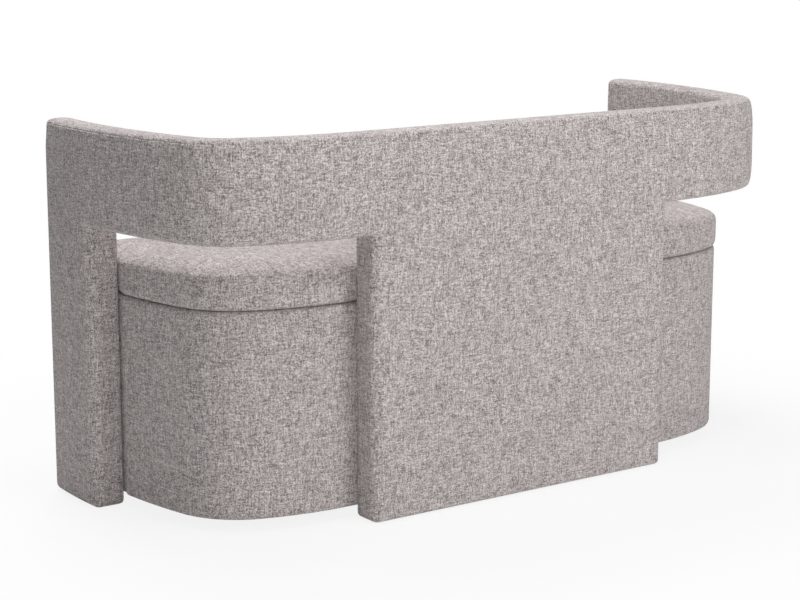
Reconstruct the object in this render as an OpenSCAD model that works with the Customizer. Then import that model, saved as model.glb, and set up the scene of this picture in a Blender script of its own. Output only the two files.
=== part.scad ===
// Upholstered banquette bench with a wrap-around back band.
// The arms and the middle of the back run to the floor as flat wall stretches;
// between them the band floats over the seat and leaves a curved window.
// Origin: on the floor under the middle of the bench. X is the length, the seat
// opens towards -Y, the outer back faces +Y and Z points up. Sizes are millimetres.

/* [Overall] */
// Height from the floor to the top of the back band
total_h = 746; // [680:1:820]
// Depth from the arm fronts to the outer face of the back
depth = 570; // [540:1:640]
// Width over the outer faces of the arms, at their front ends
front_w = 1500; // [1440:5:1800]

/* [Plan curve] */
// Outer radius of the nearly straight flanks
flank_r = 1200; // [1100:10:1500]
// Outer radius of the two rear corners
corner_r = 140; // [120:2:180]
// Outer radius of the shallow curve between a corner and the flat of the back
back_r = 680; // [600:10:760]
// Direction in which flank and corner meet, from the X axis
flank_end_angle = 16.5; // [14:0.5:19]
// Direction in which corner and back curve meet, from the X axis
corner_end_angle = 70.2; // [68:0.1:74]

/* [Wall] */
// Thickness of the band, the arms and the back panel over their covers
wall_t = 64; // [58:1:72]
// Height of the band from its underside to the top
band_h = 193; // [150:1:210]
// Depth of an arm where it runs to the floor
arm_d = 179; // [150:1:200]
// Length of flat back on either side of the panel that runs to the floor
panel_margin = 23; // [20:1:60]
// Edge radius at the rear outer edge of an arm
rear_outer_r = 26; // [6:1:30]
// Edge radius at the rear inner edge of an arm
rear_inner_r = 12; // [6:1:26]
// Edge radius at the front outer edge of an arm
front_outer_r = 5; // [3:1:10]
// Edge radius at the front inner edge of an arm
front_inner_r = 10; // [3:1:16]
// Edge radius at the two rear edges of the back panel
panel_edge_r = 22; // [6:1:28]

/* [Base] */
// Height of the underside of the base over the floor
floor_gap = 23; // [20:1:40]
// Clearance between the base or seat and the wall beside it
fit_gap = 0.5; // [0.4:0.1:1]
// How far the base swells out behind the arms that squeeze it
base_bulge = 7; // [4:0.5:10]
// Length over which base and seat swell out beside a squeezed stretch
bulge_run = 16; // [10:1:24]
// How far the front of the base stands behind the arm fronts
base_setback = 5; // [5:0.5:20]
// Radius of the rear corners of the base
base_corner_r = 160; // [145:1:170]
// Radius of the shallow rear curve of the base
base_back_r = 568; // [540:1:600]
// Direction in which the corner and the rear curve of the base meet
base_corner_end_angle = 71.5; // [69:0.5:74]
// Radius of the two front edges of the base
base_front_r = 6; // [3:1:12]

/* [Seat] */
// How far the seat stands proud of the base
seat_overhang = 3.5; // [2:0.5:5]
// Height of the opening between the upright side of the seat and the band
window_h = 72; // [50:1:120]
// Height of the upright side of the seat
seat_side_h = 61; // [50:1:75]
// Width of the soft edge between side and top of the seat
seat_edge_w = 15; // [8:1:20]
// Height of that soft edge
seat_edge_h = 13; // [6:1:16]
// Rise of the crown from the soft edge to the middle of the seat
seat_crown = 12; // [2:1:16]
// Radius of the tucked lower edge of the seat
seat_tuck_r = 8; // [5:1:10]
// Radius of the two front corners of the seat
seat_front_r = 28; // [24:1:40]

/* [Upholstery] */
// Thickness of the woven covers
cover_t = 2; // [1.5:0.1:2.5]
// Thickness of the foam on every face of the wall
wall_foam_t = 16; // [16:1:18]
// Thickness of the foam of the base where the arms squeeze it
base_foam_t = 6; // [5:1:10]
// Width of the cover that is turned in over the edges of the base
turn_w = 36; // [30:1:45]
// Width of the seat cover that is turned in under the seat
seat_turn_w = 48; // [40:1:60]
// Width of the outer cover that wraps inwards past an edge, left before the inner face
seam_inset = 8; // [4:1:12]
// Clearance between loose layers
layer_gap = 0.3; // [0.2:0.1:0.4]

/* [Frame] */
// Thickness of the bending plywood on both faces of the wall frame
skin_t = 4; // [3:0.5:5]
// Height of the curved ribs in the wall
rib_h = 20; // [16:1:26]
// Width of the upright studs in the wall
stud_w = 38; // [30:1:42]
// Height of the cross blocks in the arms and the panel
block_h = 60; // [50:1:70]
// Height of the blocks that take the glides
sole_h = 44; // [36:1:56]
// Thickness of the bending plywood round the base
base_skin_t = 6; // [5:0.5:8]
// Thickness of the cut plywood plates at the top and bottom of the base
plate_t = 18; // [15:1:21]
// Width of the rim left on those plates
rim_w = 70; // [60:1:80]
// Width of the cross bars left in those plates
bar_w = 110; // [90:1:120]
// Distance of the outer cross bars from the outer faces of the arms
bar_inset = 280; // [250:5:310]
// Thickness of the struts between the plates
strut_t = 38; // [32:1:42]
// Width of those struts
strut_w = 60; // [54:1:66]
// Distance of the outer front struts from the outer cross bars
front_strut_inset = 120; // [70:5:140]
// Width of the triangular blocks in the front corners of the base
corner_block_w = 50; // [40:1:60]
// Thickness of the plywood seat deck
deck_t = 12; // [9:1:15]
// Radius of the breather holes in the deck
vent_r = 14; // [10:1:18]
// Distance between breather holes along the deck
vent_pitch = 170; // [140:5:180]
// Distance between the two rows of breather holes
vent_row_pitch = 190; // [150:5:210]
// Thickness of the dust cloth under the base
dust_t = 1; // [0.6:0.1:1.4]

/* [Joining bolts] */
// Shaft radius of the joining bolts
bolt_r = 4; // [3:0.5:5]
// Radius of the bolt heads
bolt_head_r = 7; // [6:0.5:8]
// Height of the bolt heads
bolt_head_h = 5; // [4:0.5:6]
// Radius of the washers
washer_r = 10; // [9:0.5:12]
// Thickness of the washers
washer_t = 1.6; // [1:0.1:2]
// Height of the lower bolts over the floor
low_bolt_h = 120; // [110:1:140]
// Depth of the upper bolts under the seam between base and seat
high_bolt_drop = 90; // [81:1:131]
// Distance of the panel bolts from the middle, as a share of half the panel
panel_bolt_share = 0.535; // [0.45:0.005:0.6]
// Clearance round a bolt in wood, foam and fabric
bolt_gap = 0.5; // [0.3:0.1:1]

/* [Tee nuts] */
// Outer radius of a tee nut's barrel
nut_r = 5.5; // [5.5:0.1:6]
// Length of the barrel
nut_l = 12; // [10:1:14]
// Radius of the flange
nut_flange_r = 11; // [10:0.5:13]
// Thickness of the flange
nut_flange_t = 1.5; // [1:0.1:2]
// Radial clearance of a thread's shaft in its nut
thread_gap = 0.05; // [0.03:0.01:0.08]

/* [Seat screws] */
// Shaft radius of the seat screws
screw_r = 2.5; // [2:0.25:3]
// Radius of the screw heads
screw_head_r = 5; // [4.5:0.25:6]
// Height of the screw heads
screw_head_h = 3; // [2:0.25:4]
// Depth to which a seat screw bites into the deck
screw_bite = 9; // [6:0.5:10]
// Distance of the seat screws from the edge of the base
screw_inset = 58; // [52:1:64]
// Distance of the front screws from the middle
front_screw_x = 180; // [150:5:230]
// Distance of the rear screws from the middle, as a share of that of the panel bolts
rear_screw_share = 0.5; // [0.45:0.01:0.55]

/* [Nail glides] */
// Thickness of the glides under arms and panel
glide_h = 2; // [2:0.5:5]
// Radius of these glides
glide_r = 12.5; // [10:0.5:15]
// Nail radius of these glides
nail_r = 1.5; // [1:0.1:2]
// Nail length over the glide
nail_l = 22; // [16:1:30]
// Distance of the arm glides from the arm's front and rear faces
glide_inset = 44; // [40:1:52]

/* [Levelling feet] */
// Radius of the foot pads
pad_r = 20; // [16:1:25]
// Height of the foot pads
pad_h = 13; // [10:1:14]
// Radius of the hub on top of a pad
pad_hub_r = 10; // [9:0.5:12]
// Height of the pad's outer rim
pad_rim_h = 5; // [3:0.5:7]
// Stem radius of the feet
stem_r = 4; // [3:0.5:5]
// Length of the stem over the adjusting hexagon
stem_l = 42; // [36:1:50]
// Corner radius of the adjusting hexagon
hex_r = 9; // [8:0.5:10]
// Depth of the stem's socket in the pad
socket_d = 8; // [5:1:9]
// Distance of the front feet from the arm fronts
front_foot_inset = 135; // [115:5:155]
// Distance of the rear feet from the outer face of the back
rear_foot_inset = 225; // [205:5:245]
// Opening in the dust cloth round a foot
foot_hole_r = 13; // [12:0.5:16]

/* [Hidden] */
// overrun of the cuts
cut_over = 10;
// chords of each round stretch of the wall, and of the coarser soft forms
wall_steps = [5, 12, 10];
soft_steps = [3, 6, 3];
flank_steps = 12;
// two points of an outline are never closer than this angle or length
least_angle = 0.15;
least_run = 1;
// stations of the flank before, along and after the squeezed stretch, as shares
squeeze_shares = [0.35, 0.7, 1];
swell_shares = [0.35, 0.7, 1];
free_shares = [0.33, 0.67];
// stations of the soft edge, in degrees, and of the crown, as shares of its spread
tuck_angles = [0, 45, 90];
edge_angles = [0, 35, 65, 90];
crown_shares = [0.84, 0.58, 0.28];
// breather holes on either side of the middle one, in each row
vent_pairs = 3;
// directions of the struts in the rear corners of the base, and their seat there
corner_strut_angle = 46;
// directions of the short studs of the band on the rear corner
band_stud_angles = [30, 62];
// depth position of the short stud on the flank, as a share of the depth
flank_stud_share = 0.04;
$fn = 48;

back_y = depth / 2;
front_y = -depth / 2;
arm_y = front_y + arm_d;
wall_z = glide_h;
band_z = total_h - band_h;
seat_side_z = band_z - window_h;
seam_h = seat_side_z - seat_side_h;
core_o = cover_t + wall_foam_t;
rib_o = core_o + skin_t;
rib_t = wall_t - 2 * rib_o;
core_z = total_h - core_o;

corner_cy = back_y - back_r + (back_r - corner_r) * sin(corner_end_angle);
flank_cy = corner_cy - (flank_r - corner_r) * sin(flank_end_angle);
front_angle = asin((front_y - flank_cy) / flank_r);
corner_cx = front_w / 2 - flank_r * cos(front_angle) + (flank_r - corner_r) * cos(flank_end_angle);
corner_c = [corner_cx, corner_cy];
flank_c = corner_c - (flank_r - corner_r) * [cos(flank_end_angle), sin(flank_end_angle)];
back_c = corner_c - (back_r - corner_r) * [cos(corner_end_angle), sin(corner_end_angle)];
panel_w = 2 * (back_c[0] - panel_margin);
flank_angles = [for (i = [1:flank_steps - 1])
    front_angle + (flank_end_angle - front_angle) * i / flank_steps];

base_flank_r = flank_r - wall_t - fit_gap + base_bulge;
base_back_y = back_y - wall_t - fit_gap;
base_front_y = front_y + base_setback;
base_flank_end = asin((base_back_y - base_back_r - flank_cy
    + (base_back_r - base_corner_r) * sin(base_corner_end_angle)) / (base_flank_r - base_corner_r));
base_corner_c = flank_c + (base_flank_r - base_corner_r) * [cos(base_flank_end), sin(base_flank_end)];
base_back_c = base_corner_c
    - (base_back_r - base_corner_r) * [cos(base_corner_end_angle), sin(base_corner_end_angle)];
base_z = floor_gap;
plate_z = base_z + cover_t;
top_plate_z = seam_h - cover_t - plate_t;
strut_z = plate_z + plate_t;
base_skin_o = base_bulge + cover_t + base_foam_t;
base_frame_o = base_skin_o + base_skin_t;

deck_z = seam_h + cover_t;
deck_inset = seat_tuck_r + cover_t + layer_gap;
seat_middle_y = (base_front_y + base_back_y) / 2;

bar_x = front_w / 2 - bar_inset;
front_strut_x = bar_x - front_strut_inset;
bolt_heights = [low_bolt_h, seam_h - high_bolt_drop];
panel_bolt_x = panel_bolt_share * panel_w / 2;
rear_screw_x = rear_screw_share * panel_bolt_x;
arm_bolt_y = (front_y + arm_y) / 2;
arm_nut_x = at_flank(flank_r - rib_o, arm_bolt_y)[0] - fit_gap;
arm_strut_x = at_flank(base_flank_r - base_frame_o, arm_bolt_y)[0] - strut_t;
panel_nut_y = back_y - rib_o - fit_gap;
panel_strut_y = base_back_y - base_frame_o - strut_t;
corner_block_d = arm_bolt_y - strut_w / 2 - base_front_y - base_frame_o;
hole_r = bolt_r + bolt_gap;

pad_hex_h = plate_z - layer_gap - pad_h;
foot_z = pad_h - socket_d;

front_foot_y = front_y + front_foot_inset;
rear_foot_y = back_y - rear_foot_inset;
foot_names = ["front_left", "front_middle", "front_right", "rear_left", "rear_middle", "rear_right"];
foot_places = [[-bar_x, front_foot_y], [0, front_foot_y], [bar_x, front_foot_y],
    [-bar_x, rear_foot_y], [0, rear_foot_y], [bar_x, rear_foot_y]];

// Outlines

function arc(c, r, a, b, n) = [for (i = [0:n]) c + r * [cos(a + (b - a) * i / n), sin(a + (b - a) * i / n)]];
function rest_of(p) = [for (i = [1:len(p) - 1]) p[i]];
function turned(p) = [for (i = [len(p) - 1:-1:0]) p[i]];
function both_sides(p) = concat(p, [for (q = turned(p)) [-q[0], q[1]]]);
function ease(t) = t <= 0 ? 0 : t >= 1 ? 1 : t * t * (3 - 2 * t);
function at_flank(r, y) = flank_c + [sqrt(r * r - (y - flank_cy) * (y - flank_cy)), y - flank_cy];
function flank_angle(r, y) = asin((y - flank_cy) / r);
function rounded(c, r, a, b, n) = r > 0 ? arc(c, r, a, b, n) : [c];

// half of a line in the wall, o inside the outer face, after the direction a
function wall_run(o, a) = concat(
    [for (b = flank_angles) if (b > a + least_angle) flank_c + (flank_r - o) * [cos(b), sin(b)]],
    arc(corner_c, corner_r - o, flank_end_angle, corner_end_angle, wall_steps[1]),
    rest_of(arc(back_c, back_r - o, corner_end_angle, 90, wall_steps[2])));
function wall_line(o, y) = concat([at_flank(flank_r - o, y)], wall_run(o, flank_angle(flank_r - o, y)));

// one edge of an arm: rounded, centred o or more from the outline's radius r and end y
function arm_corner(r, y, o, a, b) = rounded(at_flank(r, y), o, a, b, wall_steps[0]);

function band_outer(o) =
    let (m = max(front_outer_r, o), r = flank_r - m, a = flank_angle(r, front_y + m))
    concat(arm_corner(r, front_y + m, m - o, -90, a), wall_run(o, a));
function band_inner(o) =
    let (m = max(front_inner_r, o), r = flank_r - wall_t + m, a = flank_angle(r, front_y + m))
    concat(arm_corner(r, front_y + m, m - o, 270, 180 + a), wall_run(wall_t - o, a));
function band_plan(o) = concat(both_sides(band_outer(o)), turned(both_sides(band_inner(o))));

function arm_plan(o) =
    let (m1 = max(front_outer_r, o), r1 = flank_r - m1, a1 = flank_angle(r1, front_y + m1),
        m2 = max(rear_outer_r, o), r2 = flank_r - m2, a2 = flank_angle(r2, arm_y - m2),
        m3 = max(rear_inner_r, o), r3 = flank_r - wall_t + m3, a3 = flank_angle(r3, arm_y - m3),
        m4 = max(front_inner_r, o), r4 = flank_r - wall_t + m4, a4 = flank_angle(r4, front_y + m4))
    concat(arm_corner(r1, front_y + m1, m1 - o, -90, a1),
        [for (b = flank_angles) if (b > a1 + least_angle && b < a2 - least_angle)
            flank_c + (flank_r - o) * [cos(b), sin(b)]],
        arm_corner(r2, arm_y - m2, m2 - o, a2, 90),
        arm_corner(r3, arm_y - m3, m3 - o, 90, 180 + a3),
        [for (b = turned(flank_angles)) if (b > a4 + least_angle && b < a3 - least_angle)
            flank_c + (flank_r - wall_t + o) * [cos(b), sin(b)]],
        arm_corner(r4, front_y + m4, m4 - o, 180 + a4, 270));

function panel_plan(o) =
    let (m1 = max(front_outer_r, o), m2 = max(panel_edge_r, o), x = panel_w / 2)
    both_sides(concat(
        rounded([x - m1, back_y - wall_t + m1], m1 - o, -90, 0, wall_steps[0]),
        rounded([x - m2, back_y - m2], m2 - o, 0, 90, wall_steps[0])));

module strip(o1, o2, y) {
    polygon(concat(both_sides(wall_line(o1, y)), turned(both_sides(wall_line(o2, y)))));
}

// half of an outline of base or seat, o inside the free face; tuck is how much
// further in the arms squeeze it, and rear_tuck how much the back panel does
function pad_angles() =
    let (a1 = flank_angle(base_flank_r, base_front_y), a2 = flank_angle(base_flank_r, arm_y),
        a3 = flank_angle(base_flank_r, arm_y + bulge_run))
    concat([for (s = squeeze_shares) a1 + (a2 - a1) * s], [for (s = swell_shares) a2 + (a3 - a2) * s],
        [for (s = free_shares) a3 + (base_flank_end - a3) * s]);
function pad_line(o, tuck, rear_tuck, front_r, steps) =
    let (m = max(front_r, o), r = base_flank_r - tuck - m, y = base_front_y + m, a = flank_angle(r, y))
    concat(rounded(at_flank(r, y), m - o, -90, a, steps[0]),
        [for (b = pad_angles()) if (b > a + least_angle)
            let (past = flank_cy + base_flank_r * sin(b) - arm_y)
            flank_c + (base_flank_r - o - tuck * (1 - ease(past / bulge_run))) * [cos(b), sin(b)]],
        arc(base_corner_c, base_corner_r - o, base_flank_end, base_corner_end_angle, steps[1]),
        rest_of(arc(base_back_c, base_back_r - o, base_corner_end_angle, 90, steps[2])),
        [for (s = rear_tuck > 0 ? [1, 0.5, 0] : []) let (x = panel_w / 2 + bulge_run * s)
            if (x < base_back_c[0] - least_run) [x, base_back_y - o - rear_tuck * (1 - ease(s))]]);
function base_cover_line(o) = pad_line(o, base_bulge, 0, base_front_r, wall_steps);
function base_frame_line(o) = pad_line(o, 0, 0, base_front_r, wall_steps);
function seat_line(o) =
    pad_line(o - seat_overhang, base_bulge + seat_overhang, seat_overhang, seat_front_r, soft_steps);

module lift(z0, z1) translate([0, 0, z0]) linear_extrude(z1 - z0) children();
module base_shape(o) polygon(both_sides(base_frame_line(o)));
module both() {
    children();
    mirror([1, 0, 0]) children();
}

// Wall

module wall_solid(o) {
    lift(band_z + o, total_h - o) polygon(band_plan(o));
    both() lift(wall_z + o, band_z + o) polygon(arm_plan(o));
    lift(wall_z + o, band_z + o) polygon(panel_plan(o));
}

// the space between an arm and the panel up to a height, grown by o into the frame
module windows(o, z) {
    both() translate([panel_w / 2 - o, arm_y - o, -cut_over]) cube([front_w, depth, z + cut_over]);
}

// a layer of the wall between two depths, with its windows
module wall_layer(o1, o2, z0, z1) {
    difference() {
        lift(z0, z1) strip(o1, o2, front_y + core_o);
        windows(core_o, band_z + core_o);
    }
}

// what lies on the inner side, the top or the arm fronts, and belongs to the inner cover
module inner_side() {
    lift(-cut_over, total_h + cut_over)
        polygon(both_sides(wall_line(wall_t - seam_inset, front_y - cut_over)));
    translate([-front_w, -depth, total_h - cover_t]) cube([2 * front_w, 2 * depth, cut_over]);
    translate([-front_w, front_y - cut_over, -cut_over])
        cube([2 * front_w, cut_over + cover_t, total_h + 2 * cut_over]);
}

module at_arm_bolts() {
    both() for (z = bolt_heights) translate([0, arm_bolt_y, z]) rotate([0, 90, 0]) children();
}

module at_panel_bolts() {
    for (x = [-panel_bolt_x, panel_bolt_x], z = bolt_heights)
        translate([x, 0, z]) rotate([-90, 0, 0]) children();
}

// bores for the joining bolts, from the strut to the nut
module bolt_bores() {
    at_arm_bolts() lift(arm_strut_x - cut_over, arm_nut_x - nut_flange_t) circle(hole_r);
    at_panel_bolts() lift(panel_strut_y - cut_over, panel_nut_y - nut_flange_t) circle(hole_r);
}

module at_glides() {
    both() for (y = [front_y + glide_inset, arm_y - glide_inset])
        translate(at_flank(flank_r - wall_t / 2, y)) children();
    for (x = [-1, 0, 1]) translate([x * (panel_w / 2 - core_o - stud_w / 2), back_y - wall_t / 2]) children();
}

module nail_bores() at_glides() lift(0, wall_z + nail_l + layer_gap) circle(nail_r + thread_gap);

module outer_cover() color("rosybrown") difference() {
    wall_solid(0);
    wall_solid(cover_t);
    inner_side();
    nail_bores();
}

module inner_cover() color("tan") difference() {
    intersection() {
        difference() {
            wall_solid(0);
            wall_solid(cover_t);
        }
        inner_side();
    }
    bolt_bores();
}

module core() wall_layer(core_o, wall_t - core_o, wall_z, core_z);

module band_foam() color("khaki") difference() {
    lift(band_z + cover_t, total_h - cover_t) polygon(band_plan(cover_t));
    core();
}

module arm_foam() color("khaki") difference() {
    lift(wall_z + cover_t, band_z + cover_t) polygon(arm_plan(cover_t));
    core();
    bolt_bores();
}
module right_arm_foam() arm_foam();
module left_arm_foam() mirror([1, 0, 0]) arm_foam();

module panel_foam() color("khaki") difference() {
    lift(wall_z + cover_t, band_z + cover_t) polygon(panel_plan(cover_t));
    core();
    bolt_bores();
}

module outer_skin() color("burlywood") wall_layer(core_o, rib_o, wall_z + cover_t, core_z);

module inner_skin() color("burlywood") difference() {
    wall_layer(wall_t - rib_o, wall_t - core_o, wall_z + cover_t, core_z);
    bolt_bores();
}

module top_rib() color("peru") wall_layer(rib_o, wall_t - rib_o, core_z - rib_h, core_z);

// the curved ribs along the lower edge of the band, over the two windows
module bottom_ribs() color("peru") intersection() {
    lift(band_z + core_o, band_z + core_o + rib_h) strip(rib_o, wall_t - rib_o, front_y + core_o);
    windows(core_o, total_h);
}

// short studs between the ribs of the band
module band_studs() color("sandybrown") intersection() {
    lift(band_z + core_o + rib_h, core_z - rib_h) strip(rib_o, wall_t - rib_o, front_y + core_o);
    both() {
        for (a = band_stud_angles) translate(corner_c) rotate(a) translate([0, -stud_w / 2, 0])
            cube([2 * corner_r, stud_w, total_h]);
        translate([corner_c[0], depth * flank_stud_share - stud_w / 2, 0]) cube([front_w, stud_w, total_h]);
    }
}

module arm_studs() color("sandybrown") difference() {
    intersection() {
        lift(wall_z + cover_t, core_z - rib_h) strip(rib_o, wall_t - rib_o, front_y + core_o);
        both() for (y = [front_y + core_o, arm_y - core_o - stud_w])
            translate([corner_c[0], y, 0]) cube([front_w, stud_w, total_h]);
    }
    nail_bores();
}

// a bore and a sunk seat for a tee nut, its flange face at z = 0 and its barrel below
module nut_seat() {
    translate([0, 0, -nut_l - 2 * layer_gap]) cylinder(r = nut_r + thread_gap, h = nut_l + cut_over);
    translate([0, 0, -nut_flange_t]) cylinder(r = nut_flange_r + layer_gap, h = cut_over);
}

module arm_blocks() color("sandybrown") difference() {
    intersection() {
        union() {
            lift(wall_z + cover_t, wall_z + cover_t + sole_h) strip(rib_o, wall_t - rib_o, front_y + core_o);
            for (z = bolt_heights)
                lift(z - block_h / 2, z + block_h / 2) strip(rib_o, wall_t - rib_o, front_y + core_o);
            lift(band_z, band_z + block_h) strip(rib_o, wall_t - rib_o, front_y + core_o);
        }
        both() translate([corner_c[0], front_y + core_o + stud_w, 0])
            cube([front_w, arm_d - 2 * core_o - 2 * stud_w, total_h]);
    }
    bolt_bores();
    at_arm_bolts() translate([0, 0, arm_nut_x]) nut_seat();
}

module panel_stud_places() {
    x = panel_w / 2 - core_o - stud_w;
    for (x0 = [-x - stud_w, -stud_w / 2, x]) translate([x0, back_y - wall_t + rib_o, 0]) children();
}

module panel_studs() color("sandybrown") difference() {
    panel_stud_places() translate([0, 0, wall_z + cover_t])
        cube([stud_w, rib_t, core_z - rib_h - wall_z - cover_t]);
    nail_bores();
}

module panel_rails() color("sandybrown") difference() {
    x0 = stud_w / 2;
    x1 = panel_w / 2 - core_o - stud_w;
    both() translate([x0, back_y - wall_t + rib_o, 0]) {
        translate([0, 0, wall_z + cover_t]) cube([x1 - x0, rib_t, sole_h]);
        for (z = bolt_heights) translate([0, 0, z - block_h / 2]) cube([x1 - x0, rib_t, block_h]);
        translate([0, 0, band_z]) cube([x1 - x0, rib_t, block_h]);
    }
    bolt_bores();
    at_panel_bolts() translate([0, 0, panel_nut_y]) nut_seat();
}

// Base

module base_cover() color("rosybrown") difference() {
    lift(base_z, seam_h) polygon(both_sides(base_cover_line(0)));
    lift(base_z + cover_t, seam_h - cover_t) polygon(both_sides(base_cover_line(cover_t)));
    lift(base_z - cut_over, seam_h + cut_over) base_shape(turn_w);
    bolt_bores();
}

module base_foam() color("khaki") difference() {
    lift(base_z + cover_t, seam_h - cover_t) polygon(both_sides(base_cover_line(cover_t)));
    lift(base_z - cut_over, seam_h + cut_over) base_shape(base_skin_o);
    bolt_bores();
}

module base_skin_ring() lift(plate_z, seam_h - cover_t) difference() {
    base_shape(base_skin_o);
    base_shape(base_frame_o);
}

module front_board_space() translate([-front_w, -depth, 0])
    cube([2 * front_w, depth + base_front_y + base_frame_o, total_h]);

module base_skin() color("burlywood") difference() {
    base_skin_ring();
    front_board_space();
    bolt_bores();
}

module base_front_board() color("burlywood") intersection() {
    base_skin_ring();
    front_board_space();
}

// a plywood plate with a rim and cross bars left standing
module base_plate() difference() {
    base_shape(base_frame_o);
    difference() {
        base_shape(base_frame_o + rim_w);
        for (x = [-bar_x, 0, bar_x]) translate([x - bar_w / 2, -depth]) square([bar_w, 2 * depth]);
    }
}

module at_feet() for (p = foot_places) translate(p) children();

module base_bottom_plate() color("peru") difference() {
    lift(plate_z, plate_z + plate_t) base_plate();
    at_feet() translate([0, 0, plate_z]) mirror([0, 0, 1]) {
        nut_seat();
        translate([0, 0, -plate_t - cut_over]) cylinder(r = nut_r + thread_gap, h = plate_t + cut_over);
    }
}

module at_seat_screws() {
    both() {
        translate([front_screw_x, base_front_y + screw_inset]) children();
        translate([rear_screw_x, base_back_y - screw_inset]) children();
        translate(at_flank(base_flank_r - screw_inset, seat_middle_y)) children();
    }
}

module base_top_plate() color("peru") difference() {
    lift(top_plate_z, top_plate_z + plate_t) base_plate();
    at_seat_screws() lift(top_plate_z - cut_over, seam_h) circle(screw_r + thread_gap);
}

module base_struts() color("sandybrown") difference() {
    intersection() {
        lift(strut_z, top_plate_z) base_shape(base_frame_o);
        union() {
            both() translate([arm_strut_x, arm_bolt_y - strut_w / 2, 0]) cube([front_w, strut_w, total_h]);
            for (x = [-panel_bolt_x, panel_bolt_x])
                translate([x - strut_w / 2, panel_strut_y, 0]) cube([strut_w, depth, total_h]);
            for (x = [-front_strut_x, 0, front_strut_x])
                translate([x - strut_w / 2, front_y, 0])
                    cube([strut_w, base_setback + base_frame_o + strut_t, total_h]);
            both() translate(base_corner_c) rotate(corner_strut_angle)
                translate([base_corner_r - base_frame_o - strut_t, -strut_w / 2, 0])
                cube([base_corner_r, strut_w, total_h]);
        }
    }
    bolt_bores();
}

// glue blocks in the two front corners, as deep as the arm struts leave room for
module corner_blocks() color("sandybrown") both() intersection() {
    lift(strut_z, top_plate_z) base_shape(base_frame_o);
    translate(concat(at_flank(base_flank_r - base_frame_o, base_front_y + base_frame_o), 0))
        lift(0, total_h) polygon([[0, 0], [0, corner_block_d], [-corner_block_w, 0]]);
}

module dust_cloth() color("dimgray") difference() {
    lift(plate_z - dust_t, plate_z) base_shape(turn_w + layer_gap);
    at_feet() lift(0, seam_h) circle(foot_hole_r);
}

// Seat

// the rings of the seat's form, g inside its outer face: each is [inset, height]
function seat_rings(g) = concat(
    [for (a = tuck_angles) [g + seat_tuck_r * (1 - sin(a)), seam_h + g + seat_tuck_r * (1 - cos(a))]],
    [for (a = edge_angles) [g + seat_edge_w * (1 - cos(a)), seat_side_z - g + seat_edge_h * sin(a)]]);

// a crowned solid over the seat's outline, closed by a point in the middle of both faces
module crowned(g) {
    rings = seat_rings(g);
    middle = [0, seat_middle_y];
    top = rings[len(rings) - 1];
    sides = [for (r = rings) [for (p = both_sides(seat_line(r[0]))) [p[0], p[1], r[1]]]];
    domes = [for (s = crown_shares) [for (p = both_sides(seat_line(top[0])))
        [middle[0] + (p[0] - middle[0]) * s, middle[1] + (p[1] - middle[1]) * s,
            top[1] + seat_crown * (1 - s * s)]]];
    all = concat(sides, domes);
    n = len(all[0]);
    last = len(all) - 1;
    low = n * len(all);
    polyhedron(
        points = concat([for (ring = all, p = ring) p],
            [[middle[0], middle[1], rings[0][1]], [middle[0], middle[1], top[1] + seat_crown]]),
        faces = concat(
            [for (k = [0:last - 1], i = [0:n - 1], half = [0, 1])
                let (j = (i + 1) % n, a = k * n, b = a + n)
                half == 0 ? [a + i, b + i, b + j] : [a + i, b + j, a + j]],
            [for (i = [0:n - 1]) [low, i, (i + 1) % n]],
            [for (i = [0:n - 1]) [low + 1, last * n + (i + 1) % n, last * n + i]]));
}

module deck_shape(o) polygon(both_sides(seat_line(deck_inset + o)));

module seat_cover() color("rosybrown") difference() {
    crowned(0);
    crowned(cover_t);
    lift(seam_h - cut_over, deck_z + cover_t) polygon(both_sides(seat_line(seat_turn_w)));
}

module seat_foam() color("khaki") difference() {
    crowned(cover_t + layer_gap);
    lift(seam_h, deck_z + deck_t) deck_shape(-layer_gap);
}

module seat_deck() color("burlywood") difference() {
    lift(deck_z, deck_z + deck_t) deck_shape(0);
    for (i = [-vent_pairs:vent_pairs], j = [-0.5, 0.5])
        translate([i * vent_pitch, seat_middle_y + j * vent_row_pitch, seam_h])
        cylinder(r = vent_r, h = deck_t + cut_over);
    at_seat_screws() lift(seam_h, deck_z + screw_bite + layer_gap) circle(screw_r + thread_gap);
}

// Fixings

module seat_screws() color("silver") at_seat_screws() {
    lift(top_plate_z - screw_head_h, top_plate_z) circle(screw_head_r);
    lift(top_plate_z, deck_z + screw_bite) circle(screw_r);
}

// a bolt whose head starts behind its washer at z0 and whose shaft ends at z1
module bolt(z0, z1) {
    lift(z0 - washer_t - bolt_head_h, z0 - washer_t) circle(bolt_head_r);
    lift(z0 - washer_t, z1) circle(bolt_r);
}

module joining_bolts() color("silver") {
    at_arm_bolts() bolt(arm_strut_x, arm_nut_x);
    at_panel_bolts() bolt(panel_strut_y, panel_nut_y);
}

module washer(z) lift(z - washer_t, z) difference() {
    circle(washer_r);
    circle(bolt_r + thread_gap);
}

module joining_washers() color("gainsboro") {
    at_arm_bolts() washer(arm_strut_x);
    at_panel_bolts() washer(panel_strut_y);
}

// a tee nut with its flange face at z = 0 and its barrel below
module tee_nut(r) difference() {
    union() {
        translate([0, 0, -nut_flange_t]) cylinder(r = nut_flange_r, h = nut_flange_t);
        translate([0, 0, -nut_l]) cylinder(r = nut_r, h = nut_l);
    }
    translate([0, 0, -nut_l - cut_over]) cylinder(r = r + thread_gap, h = nut_l + 2 * cut_over);
}

module joining_nuts() color("silver") {
    at_arm_bolts() translate([0, 0, arm_nut_x]) tee_nut(bolt_r);
    at_panel_bolts() translate([0, 0, panel_nut_y]) tee_nut(bolt_r);
}

module foot_nuts() color("silver") at_feet() translate([0, 0, plate_z]) mirror([0, 0, 1]) tee_nut(stem_r);

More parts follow.
